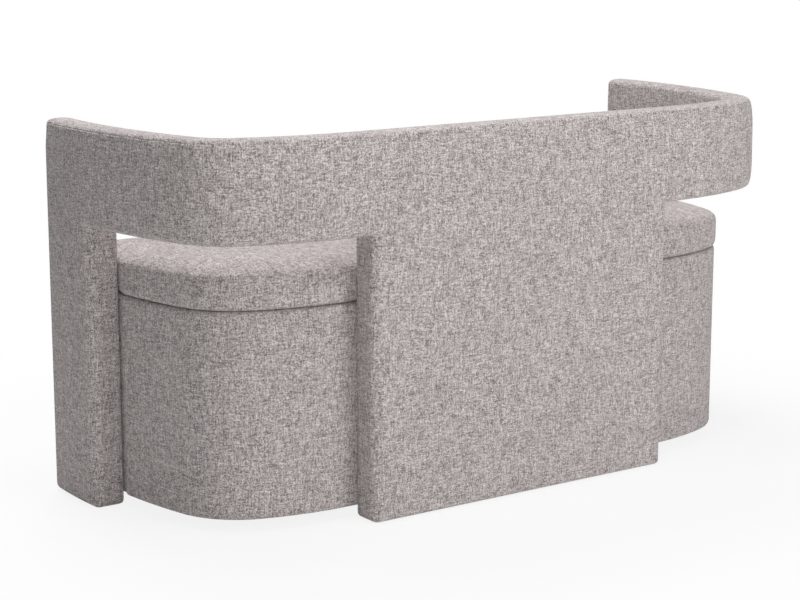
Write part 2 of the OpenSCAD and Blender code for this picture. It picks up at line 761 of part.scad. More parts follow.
// drive-in glides under the arms and the panel
module nail_glides() color("dimgray") at_glides() {
    cylinder(r = glide_r, h = glide_h);
    lift(glide_h, wall_z + nail_l) circle(nail_r);
}

module foot_pad(p) color("dimgray") translate(p) difference() {
    rotate_extrude() polygon([[0, 0], [pad_r, 0], [pad_r, pad_rim_h], [pad_hub_r, pad_h], [0, pad_h]]);
    translate([0, 0, foot_z]) cylinder(r = stem_r + thread_gap, h = pad_h);
}

module foot_stem(p) color("silver") translate(p) {
    translate([0, 0, foot_z]) cylinder(r = stem_r, h = socket_d + pad_hex_h + stem_l);
    translate([0, 0, pad_h]) cylinder(r = hex_r, h = pad_hex_h, $fn = 6);
}

outer_cover();
inner_cover();
band_foam();
left_arm_foam();
right_arm_foam();
panel_foam();
outer_skin();
inner_skin();
top_rib();
bottom_ribs();
band_studs();
arm_studs();
arm_blocks();
panel_studs();
panel_rails();
base_cover();
base_foam();
base_skin();
base_front_board();
base_bottom_plate();
base_top_plate();
base_struts();
corner_blocks();
dust_cloth();
seat_cover();
seat_foam();
seat_deck();
seat_screws();
joining_bolts();
joining_washers();
joining_nuts();
foot_nuts();
nail_glides();
for (i = [0:len(foot_names) - 1]) {
    foot_pad(foot_places[i]);
    foot_stem(foot_places[i]);
}
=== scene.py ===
# Upholstered banquette bench: woven covers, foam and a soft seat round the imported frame.
# Sizes are metres in the frame's own axes: the seat opens towards -Y and the back faces +Y.
from math import asin, cos, degrees, hypot, pi, radians, sin

import bmesh
import bpy
from mathutils import Matrix, Vector, kdtree


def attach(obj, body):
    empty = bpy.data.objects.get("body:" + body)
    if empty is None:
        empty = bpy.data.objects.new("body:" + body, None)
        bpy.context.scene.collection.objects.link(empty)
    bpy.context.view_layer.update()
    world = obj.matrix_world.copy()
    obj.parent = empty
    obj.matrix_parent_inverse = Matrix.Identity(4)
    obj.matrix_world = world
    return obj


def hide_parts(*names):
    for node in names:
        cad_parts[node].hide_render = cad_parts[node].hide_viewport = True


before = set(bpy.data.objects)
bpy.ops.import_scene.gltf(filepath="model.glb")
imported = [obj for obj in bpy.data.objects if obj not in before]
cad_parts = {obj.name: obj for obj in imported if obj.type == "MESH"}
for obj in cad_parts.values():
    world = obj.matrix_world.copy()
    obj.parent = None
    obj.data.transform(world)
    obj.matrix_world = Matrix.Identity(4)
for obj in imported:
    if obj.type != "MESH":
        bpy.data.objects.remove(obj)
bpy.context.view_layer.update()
print("frame loaded,", len(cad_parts), "nodes")


# helpers for meshes

limits = {
    "point": 1e-5,          # points this near are one
    "place": 1e-4,          # places this near count as the same
    "angle": 0.01,          # radians between two faces that count as one
    "facing": 0.71,         # least part of a normal along the axis that its face looks along
    "corners": 8,           # a face with more corners closes an outline
}
weaveShift = 3              # metres, sets the weave apart on faces that look different ways


def ease(t):
    # a smooth step from 0 to 1
    t = min(max(t, 0), 1)
    return t * t * (3 - 2 * t)


def near(a, b):
    return abs(a - b) < limits["place"]


def newPiece(name, bm):
    mesh = bpy.data.meshes.new(name)
    bm.to_mesh(mesh)
    bm.free()
    piece = bpy.data.objects.new(name, mesh)
    bpy.context.collection.objects.link(piece)
    return piece


def takeMesh(piece):
    # hands over the piece's mesh for more work, and removes the piece
    bm = bmesh.new()
    bm.from_mesh(piece.data)
    bpy.data.objects.remove(piece)
    return bm


def joinInto(bm, other):
    # adds the other mesh's points, edges and faces
    mesh = bpy.data.meshes.new("joined")
    other.to_mesh(mesh)
    other.free()
    bm.from_mesh(mesh)
    bpy.data.meshes.remove(mesh)


def applyModifiers(piece):
    depsgraph = bpy.context.evaluated_depsgraph_get()
    depsgraph.update()
    mesh = bpy.data.meshes.new_from_object(piece.evaluated_get(depsgraph))
    piece.modifiers.clear()
    piece.data = mesh


def thicken(piece, thickness):
    shell = piece.modifiers.new("cloth thickness", "SOLIDIFY")
    shell.thickness = thickness
    shell.offset = -1


def finishPiece(piece, material, nodes):
    piece.data.materials.clear()
    piece.data.materials.append(material)
    for face in piece.data.polygons:
        face.use_smooth = True
    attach(piece, "bench")
    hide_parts(*nodes)


def cut(bm, place, normal):
    bmesh.ops.bisect_plane(bm, geom=bm.verts[:] + bm.edges[:] + bm.faces[:],
                           plane_co=place, plane_no=normal, dist=limits["point"])


def moveMade(bm, made, shift):
    # moves the points that an extrusion has just made
    points = [g for g in made["geom"] if isinstance(g, bmesh.types.BMVert)]
    bmesh.ops.translate(bm, verts=points, vec=shift)


def lids(bm):
    # the flat faces that close an outline, above and below
    return [f for f in bm.faces if len(f.verts) > limits["corners"]]


# the camera, at the photograph's viewing angle

camera = {
    "place": (2.4524, 3.3275, 1.1784),
    "heading": 35.189,      # degrees round from straight ahead at the back
    "pitch": 11.379,        # degrees down
    "lens": 91.598,         # millimetres, as the sensor's width
    "sensor": 36,
}


def makeCamera():
    data = bpy.data.cameras.new("camera")
    data.lens = camera["lens"]
    data.sensor_width = camera["sensor"]
    eye = bpy.data.objects.new("camera", data)
    bpy.context.collection.objects.link(eye)
    heading, pitch = radians(camera["heading"]), radians(camera["pitch"])
    looking = Vector((-sin(heading) * cos(pitch), -cos(heading) * cos(pitch), -sin(pitch)))
    eye.location = camera["place"]
    eye.rotation_euler = looking.to_track_quat("-Z", "Y").to_euler()
    bpy.context.scene.camera = eye


# the plan curve that the wall follows

plan = {
    "depth": 0.570,
    "frontWidth": 1.500,
    "flankRadius": 1.200,
    "cornerRadius": 0.140,
    "backRadius": 0.680,
    "flankEnd": 16.5,       # degrees from the X axis, where flank and corner meet
    "cornerEnd": 70.2,      # where corner and back curve meet
    "armDepth": 0.179,
    "panelMargin": 0.023,   # flat back left on either side of the panel
}

backY = plan["depth"] / 2
frontY = -backY
armY = frontY + plan["armDepth"]


def direction(angle):
    return Vector((cos(radians(angle)), sin(radians(angle))))


def flankAngle(y, radius):
    # where an arc round the flank's centre reaches y
    return degrees(asin((y - flankCentre.y) / radius))


backReach = plan["backRadius"] - plan["cornerRadius"]       # from the back's centre to the corner's
flankReach = plan["flankRadius"] - plan["cornerRadius"]
cornerY = backY - plan["backRadius"] + backReach * sin(radians(plan["cornerEnd"]))
flankY = cornerY - flankReach * sin(radians(plan["flankEnd"]))
frontAngle = degrees(asin((frontY - flankY) / plan["flankRadius"]))
flankCentre = Vector((plan["frontWidth"] / 2 - plan["flankRadius"] * cos(radians(frontAngle)), flankY))
cornerCentre = flankCentre + flankReach * direction(plan["flankEnd"])
backCentre = cornerCentre - backReach * direction(plan["cornerEnd"])
armAngle = flankAngle(armY, plan["flankRadius"])
panelHalf = backCentre.x - plan["panelMargin"]

# stretches of half the outer face, from the back: centre, radius, first angle, length
stretches = [(centre, radius, first, radians(first - last) * radius) for centre, radius, first, last in (
    (backCentre, plan["backRadius"], 90, plan["cornerEnd"]),
    (cornerCentre, plan["cornerRadius"], plan["cornerEnd"], plan["flankEnd"]),
    (flankCentre, plan["flankRadius"], plan["flankEnd"], frontAngle),
)]
backLength, cornerLength, flankLength = (s[3] for s in stretches)
cornerStart = backCentre.x + backLength
halfLength = backCentre.x + (backLength + cornerLength + flankLength)
armStart = halfLength - radians(armAngle - frontAngle) * plan["flankRadius"]


def bent(point):
    # a point of the unrolled wall (along the outer face, minus the depth into it, height) in its real place
    along, depth = abs(point.x), -point.y
    x, y = along, backY - depth
    rest = along - backCentre.x
    if rest > 0:
        for centre, radius, angle, length in stretches:
            if rest <= length or centre is flankCentre:
                break
            rest -= length
        turn = angle - degrees(rest / radius)
        if centre is flankCentre:   # towards the arm a cross-section turns until it runs straight across
            straight = flankAngle(flankY + radius * sin(radians(turn)), radius - depth)
            turn += (straight - turn) * ease((plan["flankEnd"] - turn) / (plan["flankEnd"] - armAngle))
        x, y = centre + (radius - depth) * direction(turn)
    return Vector((x if point.x > 0 else -x, y, point.z))


# the wall: back band, arms and panel in one

wall = {
    "thickness": 0.064,
    "top": 0.7415,          # along its edges
    "dome": 0.0045,         # how far the top swells between them
    "domeEnd": 0.006,       # run over which the swell dies away at an arm's front
    "domeFrom": 0.014,      # below the top, where the swell sets in
    "domeRun": 0.012,
    "bandBottom": 0.553,
    "bottom": 0.002,        # on the nail glides
    "cover": 0.002,
    "foam": 0.016,
    "seamInset": 0.008,     # outer cover wraps to this far before the inner face
    "seamDepth": 0.0003,
    "topSlope": 0.25,       # least upward part of a normal on the strip along the top
    "frontReach": 0.02,     # how near an arm's front its own faces are
    "station": 0.015,       # between the cuts that it is bent by
    "layers": (0.2, 0.35, 0.5, 0.65, 0.8),      # cuts through the thickness, as shares of it
    "hold": 0.012,          # unit for the cuts beside a long edge
    "holdSteps": (0.3, 1, 2, 3.4),
    "edgeSteps": 5,
    "edges": {                  # radii on the outer face and on the inner face
        "top": (0.007, 0.007),
        "bandBottom": (0.009, 0.009),
        "armFront": (0.005, 0.007),
        "armRear": (0.026, 0.011),
        "panelSide": (0.022, 0.005),
        "foot": (0.010, 0.009),
        "armTop": 0.005,        # across the top of an arm's front
        "footEnds": 0.011,      # across the bottom of arms and panel
    },
    "pull": {                   # how far pulled fabric draws the faces in at an edge, and over what run
        "top": (0.0045, 0.070),
        "bandBottom": (0.0028, 0.045),
        "upright": (0.0008, 0.040),
        "foot": (0.0012, 0.040),
    },
    "cornerPull": (0.0030, 0.022),      # more of it along the edges round the rear corners
    "cornerFade": 0.12,
    "innerShare": 0.25,     # of the pull, on the inner face
}


def edgeRadius(edge, inset, low):
    # what an edge of the slab is rounded by, found by its place
    a, b = (v.co for v in edge.verts)
    middle = (a + b) / 2
    top, bandBottom = wall["top"] - inset, wall["bandBottom"] + inset
    radii = wall["edges"]
    if not near(a.y, b.y):      # it runs across the wall
        if near(middle.z, top):
            return radii["armTop"]
        return radii["footEnds"] if near(middle.z, low) else 0
    if near(a.z, b.z):
        where, places = middle.z, {"top": top, "bandBottom": bandBottom, "foot": low}
    else:
        where, places = abs(middle.x), {
            "armFront": halfLength - inset,
            "armRear": armStart + inset,
            "panelSide": panelHalf - inset,
        }
    face = 0 if middle.y > -wall["thickness"] / 2 else 1
    return next((radii[name][face] for name, place in places.items() if near(where, place)), 0)


def wallSlab(inset, low):
    # the whole wall unrolled and flat: X along the outer face, -Y into the wall
    half, top, bandBottom = halfLength - inset, wall["top"] - inset, wall["bandBottom"] + inset
    bm = bmesh.new()
    bmesh.ops.create_grid(bm, x_segments=1, y_segments=1, size=0.5)     # one metre each way
    bmesh.ops.rotate(bm, verts=bm.verts, matrix=Matrix.Rotation(radians(-90), 3, "X"))
    bmesh.ops.scale(bm, verts=bm.verts, vec=(2 * half, 1, top - low))
    bmesh.ops.translate(bm, verts=bm.verts, vec=(0, -inset, (top + low) / 2))
    for place in (armStart + inset, panelHalf - inset):
        cut(bm, (place, 0, 0), (1, 0, 0))
        cut(bm, (-place, 0, 0), (1, 0, 0))
    cut(bm, (0, 0, bandBottom), (0, 0, 1))
    windows = [f for f in bm.faces if f.calc_center_median().z < bandBottom
               and panelHalf - inset < abs(f.calc_center_median().x) < armStart + inset]
    bmesh.ops.delete(bm, geom=windows, context="FACES")
    bmesh.ops.dissolve_limit(bm, angle_limit=limits["angle"], verts=bm.verts, edges=bm.edges)
    made = bmesh.ops.extrude_face_region(bm, geom=bm.faces[:])
    moveMade(bm, made, (0, 2 * inset - wall["thickness"], 0))
    bmesh.ops.recalc_face_normals(bm, faces=bm.faces)
    return bm


def roundedSlab(name, inset, low):
    bm = wallSlab(inset, low)
    widest = max(max(radii) for radii in wall["edges"].values() if isinstance(radii, tuple))
    weight = bm.edges.layers.float.new("bevel_weight_edge")
    for edge in bm.edges:
        edge[weight] = max(edgeRadius(edge, inset, low) - inset, 0) / widest
    piece = newPiece(name, bm)
    rounding = piece.modifiers.new("edges", "BEVEL")
    rounding.limit_method = "WEIGHT"
    rounding.width = widest
    rounding.segments = wall["edgeSteps"]
    rounding.use_clamp_overlap = False
    applyModifiers(piece)
    return piece


def cutStations(bm, low):
    # even stations to bend by, layers, and lines beside each edge that keep its shading narrow
    count = int(halfLength / wall["station"])
    for i in range(-count, count + 1):
        cut(bm, (i * wall["station"], 0, 0), (1, 0, 0))
    cut(bm, (0, 0, wall["bandBottom"] - wall["hold"]), (0, 0, 1))
    for share in wall["layers"]:
        cut(bm, (0, -share * wall["thickness"], 0), (0, 1, 0))
    radii = wall["edges"]
    rims = [(low + radii["foot"][0], 1), (wall["bandBottom"] + radii["bandBottom"][1], 1),
            (wall["top"] - radii["top"][1], -1)]
    for height, way in rims:
        for step in wall["holdSteps"]:
            cut(bm, (0, 0, height + way * step * wall["hold"]), (0, 0, 1))


def swellTop(verts):
    # the strip along the top is domed between its sewn edges, and round at the arm fronts
    half = wall["thickness"] / 2
    for vert in verts:
        across = min(abs(-vert.co.y - half) / half, 1)
        fromEnd = min(max(halfLength - abs(vert.co.x), 0) / wall["domeEnd"], 1)
        lift = wall["dome"] * (1 - across * across) * (1 - (1 - fromEnd) ** 2)
        vert.co.z += lift * ease((vert.co.z - wall["top"] + wall["domeFrom"]) / wall["domeRun"])


def pullIn(verts):
    # draws the faces of the unrolled wall in near its edges, most on the surface and not at all at the core
    deep = wall["cover"] + wall["foam"]
    most, run = wall["cornerPull"]
    away = 1                # beyond the reach of any pull
    for vert in verts:
        x, z = abs(vert.co.x), vert.co.z
        beside = max(panelHalf - x, x - armStart)
        onLeg = beside > 0 and z < wall["bandBottom"]
        gaps = {
            "top": wall["top"] - z,
            "upright": min(halfLength - x, beside if onLeg else away),
            "foot": z - wall["bottom"] if onLeg else away,
            "bandBottom": away if onLeg else hypot(max(beside, 0), z - wall["bandBottom"]),
        }
        pull = max(draw * (1 - ease(gaps[name] / reach)) for name, (draw, reach) in wall["pull"].items())
        beyond = max(cornerStart - x, x - cornerStart - cornerLength, 0)
        nearest = min(gaps["top"], gaps["bandBottom"])
        pull += most * (1 - ease(beyond / wall["cornerFade"])) * (1 - ease(nearest / run))
        depth = -vert.co.y
        fromInside = wall["thickness"] - depth
        if depth < wall["thickness"] / 2:
            vert.co.y -= pull * (1 - ease((depth - wall["cover"]) / deep))
        else:
            vert.co.y += wall["innerShare"] * pull * (1 - ease((fromInside - wall["cover"]) / deep))


def shapeWall(bm):
    swellTop(bm.verts)
    pullIn(bm.verts)
    for vert in bm.verts:
        vert.co = bent(vert.co)


def wallWeaveMap(bm):
    # the weave's place on a face, in metres: along and up, along and across, or across and up
    uv = bm.loops.layers.uv.new("weave")
    for face in bm.faces:
        nx, ny, nz = (abs(c) for c in face.normal)
        for loop in face.loops:
            x, y, z = loop.vert.co
            if nz > max(nx, ny):
                loop[uv].uv = (x, y + weaveShift)
            elif nx > ny:
                loop[uv].uv = (y + weaveShift, z)
            else:
                loop[uv].uv = (x, z) if face.normal.y > 0 else (x + weaveShift, z)


def makeWallCovers(material):
    bm = takeMesh(roundedSlab("wallCovers", 0, wall["bottom"]))
    cutStations(bm, wall["bottom"])
    seamY = wall["seamInset"] - wall["thickness"]
    cut(bm, (0, seamY, 0), (0, 1, 0))
    bm.normal_update()
    wallWeaveMap(bm)
    inner = bm.faces.layers.int.new("inner")
    for face in bm.faces:
        place, way = face.calc_center_median(), face.normal
        onTop = way.z > wall["topSlope"] and place.z > wall["bandBottom"]
        onFront = (way.x * place.x > 0 and abs(way.x) > limits["facing"]
                   and abs(place.x) > halfLength - wall["frontReach"])
        face[inner] = int(place.y < seamY or onTop or onFront)
    shapeWall(bm)
    bm.normal_update()
    seam = [v for v in bm.verts if len({f[inner] for f in v.link_faces}) == 2]
    for vert in seam:
        vert.co -= vert.normal * wall["seamDepth"]
    for side, name, nodes in ((0, "outerCover", ["outer_cover"]), (1, "innerCover", ["inner_cover"])):
        part = bm.copy()
        layer = part.faces.layers.int["inner"]
        bmesh.ops.delete(part, geom=[f for f in part.faces if f[layer] != side], context="FACES")
        cover = newPiece(name, part)
        thicken(cover, wall["cover"])
        finishPiece(cover, material, nodes)
    bm.free()


def makeWallFoam(material):
    # a hollow form: the frame's studs and skins stand in it, and it is open under arms and panel
    low = wall["bottom"] + wall["cover"]
    bm = takeMesh(roundedSlab("wallFoam", wall["cover"], low))
    core = wallSlab(wall["cover"] + wall["foam"], low)
    bmesh.ops.reverse_faces(core, faces=core.faces)
    joinInto(bm, core)
    soles = [f for f in bm.faces
             if near(f.calc_center_median().z, low) and abs(f.normal.z) > limits["facing"]]
    bmesh.ops.delete(bm, geom=soles, context="FACES")
    rims = [e for e in bm.edges if e.is_boundary]
    for leg in (-1, 0, 1):      # one arm, the panel, the other arm
        pair = [e for e in rims if round(e.verts[0].co.x / armStart) == leg]
        bmesh.ops.bridge_loops(bm, edges=pair)
    cutStations(bm, low)
    shapeWall(bm)
    bmesh.ops.recalc_face_normals(bm, faces=bm.faces)
    foam = newPiece("wallFoam", bm)
    finishPiece(foam, material, ["band_foam", "left_arm_foam", "right_arm_foam", "panel_foam"])


# the outline that base and seat share, squeezed between the arms

pad = {
    "setback": 0.005,       # behind the arms' fronts
    "fit": 0.0005,          # between it and the wall
    "bulge": 0.007,         # swell behind the arms
    "bulgeRun": 0.016,
    "bulgeSteps": 4,
    "cornerRadius": 0.160,
    "backRadius": 0.568,
    "cornerEnd": 71.5,
    "curveClear": 0.001,    # least gap between the points beside the panel and the back curve
    "station": 0.012,       # between points of the outline
    "fewest": 4,            # steps in the shortest arc
}

padFlankR = plan["flankRadius"] - wall["thickness"] - pad["fit"] + pad["bulge"]
padBackY = backY - wall["thickness"] - pad["fit"]
padFrontY = frontY + pad["setback"]
padBackReach = pad["backRadius"] - pad["cornerRadius"]
padFlankReach = padFlankR - pad["cornerRadius"]
padRise = padBackY - pad["backRadius"] - flankY + padBackReach * sin(radians(pad["cornerEnd"]))
padFlankEnd = degrees(asin(padRise / padFlankReach))
padCornerCentre = flankCentre + padFlankReach * direction(padFlankEnd)
padBackCentre = padCornerCentre - padBackReach * direction(pad["cornerEnd"])


def extendTo(bm, vert, x, y):
    made = bmesh.ops.extrude_vert_indiv(bm, verts=[vert])
    made["verts"][0].co = (x, y, 0)
    return made["verts"][0]


def spinTo(bm, vert, centre, angle):
    radius = hypot(vert.co.x - centre.x, vert.co.y - centre.y)
    steps = max(pad["fewest"], round(radians(abs(angle)) * radius / pad["station"]))
    made = bmesh.ops.spin(bm, geom=[vert], cent=(centre.x, centre.y, 0), axis=(0, 0, 1),
                          angle=radians(angle), steps=steps)
    return next(g for g in made["geom_last"] if isinstance(g, bmesh.types.BMVert))


def padOutline(overhang, frontRadius, swell, rearSwell):
    # swell and rearSwell are how far the free stretches stand out past the squeezed ones
    bm = bmesh.new()
    radius, front, back = padFlankR + overhang, padFrontY - overhang, padBackY + overhang
    turnAngle = flankAngle(front + frontRadius, radius - frontRadius)
    turnCentre = flankCentre + (radius - frontRadius) * direction(turnAngle)
    vert = bm.verts.new((0, front, 0))
    steps = round(turnCentre.x / pad["station"])
    for i in range(1, steps + 1):
        vert = extendTo(bm, vert, turnCentre.x * i / steps, front)
    vert = spinTo(bm, vert, turnCentre, 90 + turnAngle)
    squeezed = flankAngle(armY, radius)
    freed = flankAngle(armY + pad["bulgeRun"], radius)
    for turn in (squeezed - turnAngle, freed - squeezed, padFlankEnd - freed):
        vert = spinTo(bm, vert, flankCentre, turn)
    vert = spinTo(bm, vert, padCornerCentre, pad["cornerEnd"] - padFlankEnd)
    vert = spinTo(bm, vert, padBackCentre, 90 - pad["cornerEnd"])
    steps = pad["bulgeSteps"]
    besidePanel = [panelHalf + pad["bulgeRun"] * (1 - i / steps) for i in range(steps + 1)]
    besidePanel = [x for x in besidePanel if x < padBackCentre.x - pad["curveClear"]]
    steps = round(panelHalf / pad["station"])
    for x in besidePanel + [panelHalf * (1 - i / steps) for i in range(1, steps + 1)]:
        vert = extendTo(bm, vert, x, back)
    for v in bm.verts:
        if v.co.x > turnCentre.x - frontRadius - limits["place"] or v.co.y > 0:
            if v.co.y < armY + pad["bulgeRun"]:
                v.co.x -= swell * (1 - ease((v.co.y - armY) / pad["bulgeRun"]))
            elif rearSwell and v.co.y > back - limits["place"] and v.co.x < panelHalf + pad["bulgeRun"]:
                v.co.y -= rearSwell * (1 - ease((v.co.x - panelHalf) / pad["bulgeRun"]))
    bmesh.ops.mirror(bm, geom=bm.verts[:] + bm.edges[:], axis="X", merge_dist=limits["point"])
    bmesh.ops.remove_doubles(bm, verts=bm.verts, dist=limits["place"])
    return bm


def outlineRuler(bm):
    # for a place near an outline: the run along it from the middle of its front, and the distance to it
    start = min((v for v in bm.verts if near(v.co.x, 0)), key=lambda v: v.co.y)
    ordered, last = [start], None
    while True:
        here = ordered[-1]
        onward = [e.other_vert(here) for e in here.link_edges if e.other_vert(here) is not last]
        step = onward[0] if last else max(onward, key=lambda v: v.co.x)
        last = here
        if step is start:
            break
        ordered.append(step)
    places = [v.co.copy() for v in ordered]
    runs = [0]
    for a, b in zip(places, places[1:]):
        runs.append(runs[-1] + (b - a).length)
    tree = kdtree.KDTree(len(places))
    for i, place in enumerate(places):
        tree.insert(place, i)
    tree.balance()
    whole = runs[-1] + (places[0] - places[-1]).length

    def measure(point):
        place, i, gap = tree.find((point.x, point.y, 0))
        along = (places[(i + 1) % len(places)] - places[i - 1]).normalized()
        run = runs[i] + (Vector((point.x, point.y, 0)) - place).dot(along)
        return (run - whole if run > whole / 2 else run), gap
    return measure


def padBlock(overhang, frontRadius, swell, rearSwell, low, high):
    bm = padOutline(overhang, frontRadius, swell, rearSwell)
    measure = outlineRuler(bm)
    bmesh.ops.translate(bm, verts=bm.verts, vec=(0, 0, low))
    bmesh.ops.contextual_create(bm, geom=bm.edges[:])
    made = bmesh.ops.extrude_face_region(bm, geom=bm.faces[:])
    moveMade(bm, made, (0, 0, high - low))
    bmesh.ops.recalc_face_normals(bm, faces=bm.faces)
    return bm, measure


def roundRim(bm, height, radius, steps):
    rim = [e for e in bm.edges if near(e.verts[0].co.z, height) and near(e.verts[1].co.z, height)]
    bmesh.ops.bevel(bm, geom=rim, offset=radius, segments=steps, affect="EDGES", profile=0.5, material=-1)


def padWeaveMap(bm, measure):
    # round the sides the weave follows the outline
    uv = bm.loops.layers.uv.new("weave")
    for face in bm.faces:
        flat = abs(face.normal.z) > limits["facing"]
        for loop in face.loops:
            place = loop.vert.co
            loop[uv].uv = (place.x, place.y + weaveShift) if flat else (measure(place)[0], place.z)


# the base drum under the seat

base = {
    "bottom": 0.023,
    "top": 0.420,
    "frontRadius": 0.009,
    "topRadius": 0.007,
    "bottomRadius": 0.008,
    "rimSteps": 4,
    "turnIn": 0.036,        # cover turned in over both rims
    "cover": 0.002,
    "foam": 0.013,
    "hold": 0.014,
    "lift": 0.05,           # keeps two level outlines apart while they are bridged
}


def baseRing(inset, depth, walled):
    # the drum's skin with its rims turned in; walled closes it again by an upright inner face
    low, high = base["bottom"] + inset, base["top"] - inset
    bm, measure = padBlock(-inset, base["frontRadius"] - inset, pad["bulge"], 0, low, high)
    roundRim(bm, high, base["topRadius"] - inset, base["rimSteps"])
    roundRim(bm, low, base["bottomRadius"] - inset, base["rimSteps"])
    bmesh.ops.delete(bm, geom=lids(bm), context="FACES")
    inner = []
    for height in (low, high):
        rim = [e for e in bm.edges if e.is_boundary and near(e.verts[0].co.z, height)]
        outline = padOutline(-inset - depth, base["frontRadius"], pad["bulge"], 0)
        bmesh.ops.translate(outline, verts=outline.verts, vec=(0, 0, height + base["lift"]))
        joinInto(bm, outline)
        edge = [e for e in bm.edges if e.is_wire]
        bmesh.ops.bridge_loops(bm, edges=rim + edge)
        for vert in {v for e in edge for v in e.verts}:
            vert.co.z = height
        inner.append(edge)
    if walled:
        made = bmesh.ops.extrude_edge_only(bm, edges=inner[0])
        moveMade(bm, made, (0, 0, high - low))
        bmesh.ops.remove_doubles(bm, verts=bm.verts, dist=limits["point"])
    cut(bm, (0, 0, base["bottom"] + base["bottomRadius"] + base["hold"]), (0, 0, 1))
    cut(bm, (0, 0, base["top"] - base["topRadius"] - base["hold"]), (0, 0, 1))
    bmesh.ops.recalc_face_normals(bm, faces=bm.faces)
    return bm, measure


def makeBase(coverMaterial, insideMaterial):
    bm, measure = baseRing(0, base["turnIn"], False)
    padWeaveMap(bm, measure)
    cover = newPiece("baseCover", bm)
    thicken(cover, base["cover"])
    finishPiece(cover, coverMaterial, ["base_cover"])
    bm, measure = baseRing(base["cover"], base["foam"], True)
    foam = newPiece("baseFoam", bm)
    finishPiece(foam, insideMaterial, ["base_foam"])


# the seat pad

seat = {
    "bottom": 0.4202,
    "top": 0.494,           # of the soft edge
    "seam": 0.478,          # between the upright side and the top panel
    "overhang": 0.0025,     # past the base
    "frontRadius": 0.028,
    "tuck": 0.012,          # radius under the pad
    "tuckSteps": 4,
    "edge": 0.015,          # width of the soft edge
    "edgeSteps": 5,
    "crown": 0.014,
    "crownRun": 0.12,
    "crownFrom": 0.004,     # below the top, where the crown sets in
    "seamDepth": 0.0006,
    "seamWidth": 0.0012,
    "voxel": 0.006,
    "smoothings": 3,
    "smoothing": 0.5,       # strength of each
    "pressure": 4,
    "quality": 4,           # steps of the cloth per frame
    "frames": 20,
    "swellCap": 0.0015,
    "sideways": 0.15,       # share of the swell that the sewn edge lets through sideways
}


def seatBlock():
    # the pad with its edges rounded, in small even faces
    bm, measure = padBlock(seat["overhang"], seat["frontRadius"], pad["bulge"] + seat["overhang"],
                           seat["overhang"], seat["bottom"], seat["top"])
    roundRim(bm, seat["top"], seat["edge"], seat["edgeSteps"])
    roundRim(bm, seat["bottom"], seat["tuck"], seat["tuckSteps"])
    bmesh.ops.triangulate(bm, faces=lids(bm))
    cushion = newPiece("seatCushion", bm)
    remesh = cushion.modifiers.new("remesh", "REMESH")
    remesh.mode = "VOXEL"
    remesh.voxel_size = seat["voxel"]
    applyModifiers(cushion)
    return cushion, measure


def raiseCrown(verts, measure):
    for vert in verts:
        if vert.co.z > seat["top"] - seat["crownFrom"]:
            inwards = min(max(measure(vert.co)[1] - seat["edge"], 0) / seat["crownRun"], 1)
            vert.co.z += seat["crown"] * (1 - (1 - inwards) ** 2)


def stuff(piece):
    # cloth blown up by pressure, and held where it is below its soft edge
    start = [v.co.copy() for v in piece.data.vertices]
    group = piece.vertex_groups.new(name="held")
    for i, place in enumerate(start):
        free = ease((place.z - seat["top"] + seat["edge"]) / seat["edge"])
        group.add([i], 1 - free, "REPLACE")
    cloth = piece.modifiers.new("stuffing", "CLOTH")
    settings = cloth.settings
    settings.quality = seat["quality"]
    settings.use_pressure = True
    settings.uniform_pressure_force = seat["pressure"]
    settings.effector_weights.gravity = 0
    settings.vertex_group_mass = "held"
    cloth.point_cache.frame_start = 1
    cloth.point_cache.frame_end = seat["frames"]
    scene = bpy.context.scene
    for step in range(1, seat["frames"] + 1):
        scene.frame_set(step)
    applyModifiers(piece)
    piece.vertex_groups.clear()
    scene.frame_set(1)
    for vert, place in zip(piece.data.vertices, start):
        shift = vert.co - place
        shift.xy *= seat["sideways"]
        if shift.length > seat["swellCap"]:
            shift *= seat["swellCap"] / shift.length
        vert.co = place + shift


def sinkSeam(bm):
    # a fine groove round the side, between two close cuts
    for offset in (-1, 0, 1):
        cut(bm, (0, 0, seat["seam"] + offset * seat["seamWidth"]), (0, 0, 1))
    bm.normal_update()
    sewn = [v for v in bm.verts if abs(v.co.z - seat["seam"]) < limits["point"]]
    shifts = [(v, Vector((v.normal.x, v.normal.y, 0)).normalized() * seat["seamDepth"]) for v in sewn]
    for vert, shift in shifts:
        vert.co -= shift
    bm.normal_update()


def makeSeat(material):
    cushion, measure = seatBlock()
    raiseCrown(cushion.data.vertices, measure)
    stuff(cushion)
    bm = takeMesh(cushion)
    for _ in range(seat["smoothings"]):
        bmesh.ops.smooth_vert(bm, verts=bm.verts, factor=seat["smoothing"],
                              use_axis_x=True, use_axis_y=True, use_axis_z=True)
    sinkSeam(bm)
    padWeaveMap(bm, measure)
    cushion = newPiece("seatCushion", bm)
    finishPiece(cushion, material, ["seat_cover", "seat_foam"])
    print("seat cushion:", len(cushion.data.polygons), "faces")


# materials

def srgb(red, green, blue):
    def linear(c):
        c /= 255
        return c / 12.92 if c <= 0.04045 else ((c + 0.055) / 1.055) ** 2.4
    return linear(red), linear(green), linear(blue), 1


